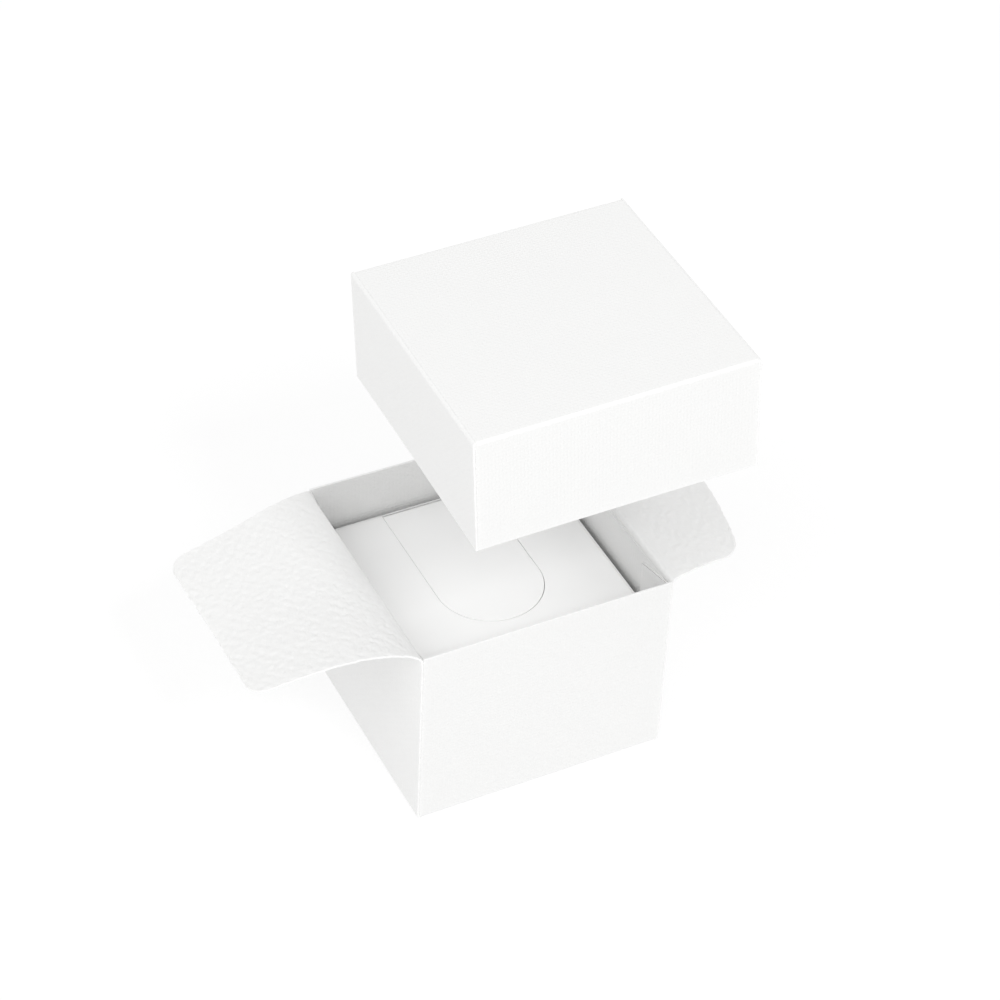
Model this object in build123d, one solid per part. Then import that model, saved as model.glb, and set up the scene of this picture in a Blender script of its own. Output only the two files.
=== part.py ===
from build123d import *
import os
from math import sqrt

# A square folding-carton gift box for small jewelry: an open base with two closing flaps, a raised
# insert card with a tongue, and a lift-off lid. Millimetres, +Z up, +X right, -Y front.
# The origin is the centre of the base's underside.

# ---- Driving dimensions -------------------------------------------------------------------------
BASE_SIDE = 50.0            # outer width and depth of the base
BASE_HEIGHT = 40.0          # table to rim
LID_SIDE = 52.0             # outer width and depth of the lid
LID_HEIGHT = 22.5           # skirt's cut edge to top panel
CARD = 0.40                 # thickness of every card
FOLD = 0.60                 # outer radius of a fixed fold
GLUE = 0.05                 # adhesive between a corner tab and the side wall it is stuck to

TAB_LENGTH = 10.0           # how far a corner tab reaches along the side wall
TAB_RELIEF = 1.0            # a tab's end stands this far from the folded panel
TAB_TAPER = 2.6             # a tab loses this much height at each end of its free edge
TAB_DROP = 0.7              # a tab starts this far short of the tray's open edge
SIDE_WALL_INSET = 0.15      # the side walls stop short of the front and back faces

FLAP_HALF_ROOT = 24.3       # half length of a flap's crease
CREASE_GAP = 0.10           # free space between a flap's rounded root and its wall
FLAP_CORNER = 3.0           # radius of a flap's free corners
LEFT_REACH = 29.6           # crease to free edge
LEFT_HALF_TIP = 20.0        # half length of the free edge
RIGHT_REACH = 14.5
RIGHT_BULGE = 3.6           # the short flap's free edge bows out by this
RIGHT_HALF_TIP = 23.0

# Rise of each flap above its crease, as (distance from the crease, height), at its front and back
LEFT_FRONT_RISE = ((7.0, 2.1), (15.0, 2.0), (23.0, 0.6), (32.0, -2.1))
LEFT_BACK_RISE = ((7.0, 0.1), (15.0, -1.4), (23.0, -2.8), (32.0, -4.3))
RIGHT_FRONT_RISE = ((5.0, 0.4), (11.0, 0.3), (19.5, -0.6))
RIGHT_BACK_RISE = ((5.0, 1.2), (11.0, 1.9), (19.5, 2.3))

INSERT_WIDTH = 47.2
INSERT_DEPTH = 47.6
INSERT_SHIFT = -0.3         # the insert sits this far left of and in front of the centre
INSERT_DROP = 10.0          # rim to the insert's top face
LEG_SPAN = 40.0             # length of each leg along its fold
LEG_NOTCH = 0.05            # a leg's foot stands this far above the floor panel
TONGUE_RADIUS = 10.25       # middle of the slit, both along the sides and round the end
TONGUE_CENTRE = -1.6        # the round end's centre, from the insert's middle towards the back
SLIT = 0.30                 # width of the slit round the tongue

LID_PLACE = (5.04, -12.53, 74.93)     # middle of the lifted lid's lower edge
LID_LEAN = (-2.14, -2.56, -2.19)      # its lean about X, Y and Z, degrees

# ---- Worked out from them -----------------------------------------------------------------------
HALF_CARD = CARD / 2
CREASE_HEIGHT = BASE_HEIGHT
SIDE_WALL_HEIGHT = CREASE_HEIGHT - HALF_CARD - CREASE_GAP
CREASE_X = BASE_SIDE / 2 + HALF_CARD
PLATFORM_TOP = BASE_HEIGHT - INSERT_DROP
TONGUE_HINGE = INSERT_DEPTH / 2 - FOLD - HALF_CARD - CREASE_GAP


def folded_section(length):
    """A card strip in section: flat on its foot, a quarter fold, then upright to the given length."""
    outer = FOLD * (1 - sqrt(0.5))
    inner = FOLD - (FOLD - CARD) * sqrt(0.5)
    edges = [
        Line((FOLD, 0), (FOLD, CARD)),
        ThreePointArc((FOLD, CARD), (inner, inner), (CARD, FOLD)),
        Line((CARD, FOLD), (CARD, length)),
        Line((CARD, length), (0, length)),
        Line((0, length), (0, FOLD)),
        ThreePointArc((0, FOLD), (outer, outer), (FOLD, 0)),
    ]
    return make_face(edges)


def wall(side, half_span, height):
    """The front wall of a folded tray: its outer face at y = -side / 2, and its fold at the foot."""
    plane = Plane(origin=(0, -side / 2, 0), x_dir=(0, 1, 0), z_dir=(1, 0, 0))
    return extrude(plane * folded_section(height), amount=half_span, both=True)


def corner_x(side):
    """Distance from the middle to the outer face of a corner tab, inside the side wall."""
    return side / 2 - CARD - GLUE


def tab(side, foot, top):
    """The front left corner tab: it turns off the front wall and runs back inside the left wall."""
    plane = Plane(origin=(-corner_x(side), -side / 2, 0), x_dir=(1, 0, 0), z_dir=(0, 0, 1))
    strip = extrude(plane * folded_section(TAB_LENGTH), amount=top)
    front = -side / 2
    back = front + TAB_LENGTH
    outline = Polyline(
        (front, foot),
        (front + FOLD, foot),
        (back, foot + TAB_TAPER),
        (back, top - TAB_TAPER),
        (front + FOLD, top),
        (front, top),
        close=True,
    )
    return strip & extrude(Plane.YZ * make_face(outline), amount=side, both=True)


def glue_spot(side, foot, top):
    """The flat spot of adhesive between the front left tab and the left wall."""
    length = TAB_LENGTH - 3 * FOLD
    middle = (foot + top) / 2
    height = top - foot - 4 * TAB_TAPER
    place = (-side / 2 + CARD + GLUE / 2, -side / 2 + FOLD + length / 2, middle)
    return Pos(*place) * Box(GLUE, length, height)


def four_corners(piece):
    """A front left piece and its mirrored copies, as front left, front right, back left, back right."""
    right = mirror(piece, about=Plane.YZ)
    return [piece, right, mirror(piece, about=Plane.XZ), mirror(right, about=Plane.XZ)]


def folded_tray(side, height, side_height):
    """The panels of an open tray folded from one blank, by name, with its foot on z = 0."""
    face_span = corner_x(side) - FOLD
    face = wall(side, face_span, height)
    flank = wall(side, side / 2 - SIDE_WALL_INSET, side_height)
    floor_side = side - 2 * FOLD
    floor = Box(floor_side, floor_side, CARD, align=(Align.CENTER, Align.CENTER, Align.MIN))
    top = height - TAB_DROP
    tabs = four_corners(tab(side, TAB_RELIEF, top))
    glue = four_corners(glue_spot(side, TAB_RELIEF, top))
    return {
        "panel": floor,
        "front_wall": face,
        "back_wall": Rot(0, 0, 180) * face,
        "left_wall": Rot(0, 0, -90) * flank,
        "right_wall": Rot(0, 0, 90) * flank,
        "front_left_tab": tabs[0],
        "front_right_tab": tabs[1],
        "back_left_tab": tabs[2],
        "back_right_tab": tabs[3],
        "glue": Compound(children=glue),
    }


def build_base():
    """The base's fixed panels. Its side walls stop at the flaps' creases."""
    tray = folded_tray(BASE_SIDE, BASE_HEIGHT, SIDE_WALL_HEIGHT)
    tray["bottom"] = tray.pop("panel")
    return {f"base_{name}": piece for name, piece in tray.items()}


def build_lid():
    """The lid's panels: a tray upside down, lifted off the base, shifted and leaning a little."""
    tray = folded_tray(LID_SIDE, LID_HEIGHT, LID_HEIGHT)
    tray["top"] = tray.pop("panel")
    place = Pos(*LID_PLACE) * Rot(*LID_LEAN) * Pos(0, 0, LID_HEIGHT)
    return {f"lid_{name}": place * mirror(piece, about=Plane.XY) for name, piece in tray.items()}


def flap_section(rises, y, outward):
    """A flap's cut face across its crease at y, from a root rounded about the crease outwards."""
    origin = (outward * CREASE_X, y, CREASE_HEIGHT)
    plane = Plane(origin=origin, x_dir=(outward, 0, 0), z_dir=(0, -outward, 0))
    upper = [(0, HALF_CARD)] + [(reach, rise + HALF_CARD) for reach, rise in rises]
    lower = [(reach, rise - HALF_CARD) for reach, rise in [(0, 0), *rises]]
    edges = [
        Spline(*upper),
        Line(upper[-1], lower[-1]),
        Spline(*reversed(lower)),
        ThreePointArc(lower[0], (-HALF_CARD, 0), upper[0]),
    ]
    return plane * make_face(edges)


def flap(front_rise, back_rise, reach, half_tip, bulge, outward):
    """A flap standing open: its two end sections joined straight, then cut to its outline."""
    ends = [
        flap_section(front_rise, -FLAP_HALF_ROOT, outward),
        flap_section(back_rise, FLAP_HALF_ROOT, outward),
    ]
    strip = loft(ends, ruled=True)
    root = -CARD
    free_edge = [(reach, -half_tip), (reach + bulge, 0), (reach, half_tip)]
    sides = [
        Line((reach, half_tip), (root, FLAP_HALF_ROOT)),
        Line((root, FLAP_HALF_ROOT), (root, -FLAP_HALF_ROOT)),
        Line((root, -FLAP_HALF_ROOT), (reach, -half_tip)),
    ]
    tip = ThreePointArc(*free_edge) if bulge else Line(free_edge[0], free_edge[2])
    outline = make_face([tip, *sides])
    corners = outline.vertices().sort_by(Axis.X)[-2:]
    outline = fillet(corners, FLAP_CORNER)
    if outward < 0:
        outline = mirror(outline, about=Plane.YZ)
    place = Pos(outward * CREASE_X, 0, 0)
    return strip & extrude(place * outline, amount=2 * BASE_HEIGHT, both=True)


def build_flaps():
    """The long left flap and the short right flap."""
    left = flap(LEFT_FRONT_RISE, LEFT_BACK_RISE, LEFT_REACH, LEFT_HALF_TIP, 0, -1)
    right = flap(RIGHT_FRONT_RISE, RIGHT_BACK_RISE, RIGHT_REACH, RIGHT_HALF_TIP, RIGHT_BULGE, 1)
    return {"left_flap": left, "right_flap": right}


def tongue_outline(radius, back):
    """A flat tongue with a round front end and its straight back edge at the given y."""
    length = back - TONGUE_CENTRE
    body = Pos(0, TONGUE_CENTRE + length / 2) * Rectangle(2 * radius, length)
    return body + Pos(0, TONGUE_CENTRE) * Circle(radius)


def build_insert():
    """The insert card: a platform on four folded legs, and the tongue cut out of it."""
    shift = Pos(INSERT_SHIFT, INSERT_SHIFT, 0)
    half_width = INSERT_WIDTH / 2
    half_depth = INSERT_DEPTH / 2
    leg_height = PLATFORM_TOP - CARD - LEG_NOTCH
    turn_over = Pos(0, 0, PLATFORM_TOP)
    face_leg = turn_over * mirror(wall(INSERT_DEPTH, LEG_SPAN / 2, leg_height), about=Plane.XY)
    side_leg = turn_over * mirror(wall(INSERT_WIDTH, LEG_SPAN / 2, leg_height), about=Plane.XY)

    sheet = Rectangle(2 * (half_width - FOLD), 2 * (half_depth - FOLD))
    window = tongue_outline(TONGUE_RADIUS + SLIT / 2, half_depth)
    flat_tongue = tongue_outline(TONGUE_RADIUS - SLIT / 2, TONGUE_HINGE)
    under = Pos(0, 0, PLATFORM_TOP - CARD)
    knuckle = Pos(0, TONGUE_HINGE, PLATFORM_TOP - HALF_CARD) * Rot(0, 90, 0)
    root = knuckle * Cylinder(HALF_CARD, 2 * TONGUE_RADIUS - SLIT)
    pieces = {
        "insert_platform": under * extrude(sheet - window, amount=CARD),
        "insert_front_leg": face_leg,
        "insert_back_leg": Rot(0, 0, 180) * face_leg,
        "insert_left_leg": Rot(0, 0, -90) * side_leg,
        "insert_right_leg": Rot(0, 0, 90) * side_leg,
        "insert_tongue": under * extrude(flat_tongue, amount=CARD) + root,
    }
    return {name: shift * piece for name, piece in pieces.items()}


def main():
    """Write each piece to its own STEP file and say where the joints are."""
    os.makedirs("parts", exist_ok=True)
    pieces = {**build_base(), **build_flaps(), **build_insert(), **build_lid()}
    for name, piece in pieces.items():
        export_step(piece, f"parts/{name}.step")
    hinge_y = INSERT_SHIFT + TONGUE_HINGE
    print(len(pieces), "pieces")
    print("flap creases at x =", -CREASE_X, "and", CREASE_X, "z =", CREASE_HEIGHT)
    print("tongue hinge at y =", round(hinge_y, 3), "z =", PLATFORM_TOP - HALF_CARD)


main()
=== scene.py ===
"""A square folding-carton gift box for small jewelry, in white card embossed like fine canvas.

Lengths are metres. +Z is up, +X is right and -Y is the front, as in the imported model. Every panel
is a sheet of card: a grid of points on its middle surface, given a thickness and rounded edges.
"""
import logging
import math
from dataclasses import dataclass
from enum import Enum
from typing import ClassVar

import bpy
import numpy as np
from mathutils import Matrix, Vector


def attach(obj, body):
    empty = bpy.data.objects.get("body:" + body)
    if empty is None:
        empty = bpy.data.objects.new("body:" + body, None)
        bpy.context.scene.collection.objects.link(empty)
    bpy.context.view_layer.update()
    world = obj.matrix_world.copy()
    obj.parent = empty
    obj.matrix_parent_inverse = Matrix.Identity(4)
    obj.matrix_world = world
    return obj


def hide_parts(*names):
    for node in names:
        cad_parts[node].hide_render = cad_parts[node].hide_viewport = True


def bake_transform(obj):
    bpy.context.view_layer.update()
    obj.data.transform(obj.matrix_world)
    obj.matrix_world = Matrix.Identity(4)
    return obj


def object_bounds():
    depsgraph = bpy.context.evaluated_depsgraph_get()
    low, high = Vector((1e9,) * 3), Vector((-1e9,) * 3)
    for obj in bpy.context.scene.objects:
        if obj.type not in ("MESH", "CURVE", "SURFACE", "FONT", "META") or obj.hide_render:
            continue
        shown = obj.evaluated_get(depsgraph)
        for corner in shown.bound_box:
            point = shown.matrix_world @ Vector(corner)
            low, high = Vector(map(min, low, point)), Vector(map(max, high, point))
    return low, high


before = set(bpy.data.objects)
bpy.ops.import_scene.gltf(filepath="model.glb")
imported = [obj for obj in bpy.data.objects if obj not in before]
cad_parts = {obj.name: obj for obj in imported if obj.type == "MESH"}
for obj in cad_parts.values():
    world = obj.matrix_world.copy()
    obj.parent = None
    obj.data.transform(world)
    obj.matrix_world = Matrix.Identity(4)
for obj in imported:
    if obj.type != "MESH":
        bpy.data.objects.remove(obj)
CAD_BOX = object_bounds()

LOG = logging.getLogger("gift_box")

MM = 0.001
CARD = 0.4 * MM             # thickness of every card
FOLD = 0.6 * MM             # outer radius of a fixed fold
GLUE = 0.01 * MM            # space between a corner tab and the wall it is glued to
EDGE_ROUND = 0.06 * MM      # rounding of a cut edge
WEAR_REACH = 0.3 * MM       # how far wear runs in from a cut edge
GRID_STEP = 1.5 * MM        # grid of a plain panel
RELIEF_STEP = 0.21 * MM     # grid of a panel with real relief
EDGE_STEPS = (0.0, 0.12 * MM, 0.3 * MM, 0.7 * MM)    # first grid lines in from a panel's border
FOLD_POINTS = 9             # grid lines round a fixed fold
CREASE_REACH = 0.45 * MM    # how far wear runs out from a fixed fold
SHARP_ANGLE = math.radians(50)      # an edge between faces that turn more than this stays sharp
LATTICE = 64                # size of the table of random values behind soft_noise
LATTICE_OFFSET = 500.0      # keeps the lattice positions above 0
CARD_MAP = "card_map"       # the name of the pieces' own UV map, in metres along the flat card
WORN = "worn"               # attribute: how worn a point is
WEAVE = "weave"             # attribute: how deep the fine emboss is


# ---- Card sheets --------------------------------------------------------------------------------
def unit(vectors: np.ndarray) -> np.ndarray:
    """Vectors divided by their own length."""
    length = np.linalg.norm(vectors, axis=-1, keepdims=True)
    return vectors / np.maximum(length, 1e-12)


def graded_line(start: float, stop: float, step: float) -> np.ndarray:
    """Positions from start to stop, even in the middle and closer together near both ends.

    Args:
        start: first position.
        stop: last position, on either side of start.
        step: widest spacing.

    Returns:
        The positions: EDGE_STEPS in from each end, then even steps between those.
    """
    sense = math.copysign(1.0, stop - start)
    near = np.array(EDGE_STEPS) * sense
    inner = abs(stop - start) - 2 * abs(near[-1])
    count = max(2, int(math.ceil(inner / step)) + 1)
    middle = np.linspace(start + near[-1], stop - near[-1], count)[1:-1]
    return np.concatenate([start + near, middle, (stop - near)[::-1]])


def soft_noise(across: np.ndarray, along: np.ndarray, pitch: float, seed: int) -> np.ndarray:
    """Smooth random heights between -1 and 1 over a surface.

    Random values stand on a square lattice of the given pitch. Between them the height is
    weighted by t * t * (3 - 2 * t) of the distance covered in each direction.

    Args:
        across: first surface coordinate of each point.
        along: second surface coordinate of each point.
        pitch: lattice spacing.
        seed: seed of the random values.

    Returns:
        One height for each point.
    """
    values = np.random.default_rng(seed).uniform(-1.0, 1.0, (LATTICE, LATTICE))
    a, b = across / pitch + LATTICE_OFFSET, along / pitch + LATTICE_OFFSET
    i, j = np.floor(a).astype(int), np.floor(b).astype(int)
    s, t = a - i, b - j
    s, t = s * s * (3 - 2 * s), t * t * (3 - 2 * t)
    steps = ((0, 0), (0, 1), (1, 0), (1, 1))
    corner = [values[(i + di) % LATTICE, (j + dj) % LATTICE] for di, dj in steps]
    return (corner[0] * (1 - s) * (1 - t) + corner[1] * (1 - s) * t
            + corner[2] * s * (1 - t) + corner[3] * s * t)


def rim_indices(rows: int, columns: int) -> np.ndarray:
    """Grid indices round the border, anticlockwise as seen from the face side."""
    grid = np.arange(rows * columns).reshape(rows, columns)
    return np.concatenate([grid[:-1, 0], grid[-1, :-1], grid[:0:-1, -1], grid[0, :0:-1]])


def quads_between(upper: np.ndarray, lower: np.ndarray) -> np.ndarray:
    """Faces joining two closed loops of vertices, point by point."""
    return np.stack([upper, lower, np.roll(lower, -1), np.roll(upper, -1)], axis=1)


@dataclass(frozen=True)
class CardSheet:
    """One panel of card: a grid of points on its middle surface.

    Its face side is the cross product of the direction down the rows and the direction along the
    columns. `card` is each point's place on the flat card. `cut` says which borders are cut edges,
    as first row, last row, first column, last column; the others meet another panel flush.
    `crease` is how worn a fold leaves each point, from 0 to 1, and `weave` the depth of the fine
    emboss there, as a share of its full depth.
    """

    points: np.ndarray
    card: np.ndarray
    cut: tuple[bool, bool, bool, bool] = (True, True, True, True)
    crease: np.ndarray | None = None
    weave: np.ndarray | None = None

    def moved(self, place: np.ndarray) -> "CardSheet":
        """The sheet carried by a 4 x 4 matrix. A mirror reverses its columns, which keeps its face.

        Args:
            place: the matrix, applied to each point.

        Returns:
            The new sheet.
        """
        points = self.points @ place[:3, :3].T + place[:3, 3]
        card, crease, weave, cut = self.card, self.crease, self.weave, self.cut
        if np.linalg.det(place[:3, :3]) < 0:
            points, card = points[:, ::-1], card[:, ::-1]
            crease = None if crease is None else crease[:, ::-1]
            weave = None if weave is None else weave[:, ::-1]
            cut = (cut[0], cut[1], cut[3], cut[2])
        return CardSheet(points, card, cut, crease, weave)

    def raised(self, heights: np.ndarray) -> "CardSheet":
        """The sheet with each point moved by a height along its own normal."""
        points = self.points + heights[..., None] * self.normals()[2]
        return CardSheet(points, self.card, self.cut, self.crease, self.weave)

    def normals(self) -> tuple[np.ndarray, np.ndarray, np.ndarray]:
        """Unit directions down the rows, along the columns, and out of the face side."""
        down = unit(np.gradient(self.points, axis=0))
        along = unit(np.gradient(self.points, axis=1))
        return down, along, unit(np.cross(down, along))

    def wear(self) -> np.ndarray:
        """How worn each point is, from 0 to 1.

        It is the larger of the crease value and exp(-d / WEAR_REACH), d being the distance along
        the grid to the nearest cut edge.
        """
        steps_down = np.linalg.norm(np.diff(self.points, axis=0), axis=-1)
        steps_along = np.linalg.norm(np.diff(self.points, axis=1), axis=-1)
        row = np.pad(np.cumsum(steps_down, axis=0), ((1, 0), (0, 0)))
        column = np.pad(np.cumsum(steps_along, axis=1), ((0, 0), (1, 0)))
        distances = (row, row[-1:] - row, column, column[:, -1:] - column)
        worn = np.zeros(row.shape) if self.crease is None else self.crease.copy()
        for is_cut, distance in zip(self.cut, distances):
            if is_cut:
                worn = np.maximum(worn, np.exp(-distance / WEAR_REACH))
        return worn

    def build(self, name: str) -> bpy.types.Object:
        """Makes the sheet a closed shell of card.

        The face and the back are the middle surface moved by half the thickness along its normal.
        At a cut edge both are drawn in by the rounding radius r, and four loops join them, at
        r * (sin(a) - 1) outwards and half - r * (1 - cos(a)) upwards for a of 45 and 90 degrees,
        and the same below. At a flush border the loops lie in the square end.

        Args:
            name: the piece's name.

        Returns:
            The new object, with its material slots still empty.
        """
        rows, columns = self.points.shape[:2]
        down, along, normal = self.normals()
        outward = np.zeros_like(self.points)
        outward[0] -= self.cut[0] * down[0]
        outward[-1] += self.cut[1] * down[-1]
        outward[:, 0] -= self.cut[2] * along[:, 0]
        outward[:, -1] += self.cut[3] * along[:, -1]
        half = CARD / 2
        inset = self.points - EDGE_ROUND * outward
        rim = rim_indices(rows, columns)
        border, out, up = (a.reshape(-1, 3)[rim] for a in (self.points, outward, normal))
        layers = [(inset + half * normal).reshape(-1, 3), (inset - half * normal).reshape(-1, 3)]
        for side, turn in ((1, 45), (1, 90), (-1, 90), (-1, 45)):
            angle = math.radians(turn)
            reach = EDGE_ROUND * (math.sin(angle) - 1)
            height = side * (half - EDGE_ROUND * (1 - math.cos(angle)))
            layers.append(border + reach * out + height * up)
        vertices = np.concatenate(layers)

        grid = np.arange(rows * columns).reshape(rows, columns)
        a, b, c, d = grid[:-1, :-1], grid[1:, :-1], grid[1:, 1:], grid[:-1, 1:]
        face = np.stack([a, b, c, d], axis=-1).reshape(-1, 4)
        size = rows * columns
        loops = [rim] + [2 * size + k * len(rim) + np.arange(len(rim)) for k in range(4)]
        loops.append(size + rim)
        edges = [quads_between(upper, lower) for upper, lower in zip(loops, loops[1:])]
        faces = np.concatenate([face, size + face[:, ::-1], *edges])
        material = np.repeat([0, 1, 2], [len(face), len(face), len(faces) - 2 * len(face)])

        def spread(values: np.ndarray) -> np.ndarray:
            """Grid values for every vertex of the shell."""
            flat = values.reshape(size, -1)
            return np.concatenate([flat, flat, *[flat[rim]] * 4])

        weave = np.ones((rows, columns)) if self.weave is None else self.weave
        mesh = mesh_from_arrays(name, vertices, faces, material)
        layer = mesh.uv_layers.new(name=CARD_MAP)
        layer.data.foreach_set("uv", spread(self.card)[faces.ravel()].astype(np.float32).ravel())
        for label, values in ((WORN, self.wear()), (WEAVE, weave)):
            attribute = mesh.attributes.new(label, "FLOAT", "POINT")
            attribute.data.foreach_set("value", spread(values).astype(np.float32).ravel())
        piece = bpy.data.objects.new(name, mesh)
        bpy.context.scene.collection.objects.link(piece)
        return piece


def mesh_from_arrays(
    name: str, vertices: np.ndarray, faces: np.ndarray, material: np.ndarray
) -> bpy.types.Mesh:
    """Puts computed vertices and four-sided faces into a new smooth mesh.

    Args:
        name: the mesh's name.
        vertices: one row of three coordinates for each vertex.
        faces: one row of four vertex indices for each face.
        material: the material slot of each face.

    Returns:
        The mesh, shaded smooth up to SHARP_ANGLE.
    """
    mesh = bpy.data.meshes.new(name)
    mesh.vertices.add(len(vertices))
    mesh.vertices.foreach_set("co", vertices.astype(np.float32).ravel())
    mesh.loops.add(faces.size)
    mesh.loops.foreach_set("vertex_index", faces.astype(np.int32).ravel())
    mesh.polygons.add(len(faces))
    mesh.polygons.foreach_set("loop_start", np.arange(0, faces.size, 4, dtype=np.int32))
    mesh.polygons.foreach_set("material_index", material.astype(np.int32))
    mesh.update(calc_edges=True)
    mesh.shade_smooth()
    mesh.set_sharp_from_angle(angle=SHARP_ANGLE)
    return mesh


@dataclass(frozen=True)
class FoldedStrip:
    """The middle line of a strip that leaves a flat panel, turns a quarter fold and runs straight.

    `inward` is the distance in from the outer face, `height` the distance from the flat panel's
    outer face, `run` the distance along the card and `crease` how worn the fold is.
    """

    WEAR: ClassVar[float] = 0.45

    inward: np.ndarray
    height: np.ndarray
    run: np.ndarray
    crease: np.ndarray

    @classmethod
    def of_length(cls, length: float, fold: float = FOLD) -> "FoldedStrip":
        """The strip of a given height.

        Its fold is a quarter circle about (fold, fold) of radius r = fold - CARD / 2, at the turn
        angle a: inward fold - r * sin(a), height fold - r * cos(a), run r * a. The crease value
        is WEAR * exp(-((run - middle) / CREASE_REACH) ** 2), middle being the fold's.

        Args:
            length: height of the strip's end.
            fold: outer radius of the fold.

        Returns:
            The strip.
        """
        radius = fold - CARD / 2
        turn = np.linspace(0, math.pi / 2, FOLD_POINTS)
        straight = graded_line(fold, length, GRID_STEP)[1:]
        inward = np.concatenate([fold - radius * np.sin(turn), np.full(len(straight), CARD / 2)])
        height = np.concatenate([fold - radius * np.cos(turn), straight])
        run = np.concatenate([radius * turn, radius * turn[-1] + straight - fold])
        middle = radius * math.pi / 4
        crease = cls.WEAR * np.exp(-(((run - middle) / CREASE_REACH) ** 2))
        return cls(inward, height, run, crease)


def turned(degrees: float) -> np.ndarray:
    """The 4 x 4 matrix of a turn about the vertical axis."""
    return np.array(Matrix.Rotation(math.radians(degrees), 4, "Z"))


def mirrored(x: float = 1.0, y: float = 1.0, z: float = 1.0) -> np.ndarray:
    """The 4 x 4 matrix that multiplies each coordinate by its factor, -1 to mirror it."""
    return np.diag([x, y, z, 1.0])


def shifted(x: float = 0.0, y: float = 0.0, z: float = 0.0) -> np.ndarray:
    """The 4 x 4 matrix of a shift."""
    return np.array(Matrix.Translation((x, y, z)))


def bowed(across: np.ndarray, along: np.ndarray, depth: float) -> np.ndarray:
    """A panel's slight bow: depth * cos(pi * u / 2) * sin(pi * v / 2) ** 2.

    u is the position across as a share of the half width, and v the position along as a share of
    the length.

    Args:
        across: position across the panel, evenly about 0.
        along: position along it, 0 at its held border.
        depth: the bow at the middle of the free border.

    Returns:
        The height of each point of the grid, along rows by columns.
    """
    u = across / np.abs(across).max()
    v = along / along.max()
    return depth * np.sin(math.pi * v / 2)[:, None] ** 2 * np.cos(math.pi * u / 2)[None, :]


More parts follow.
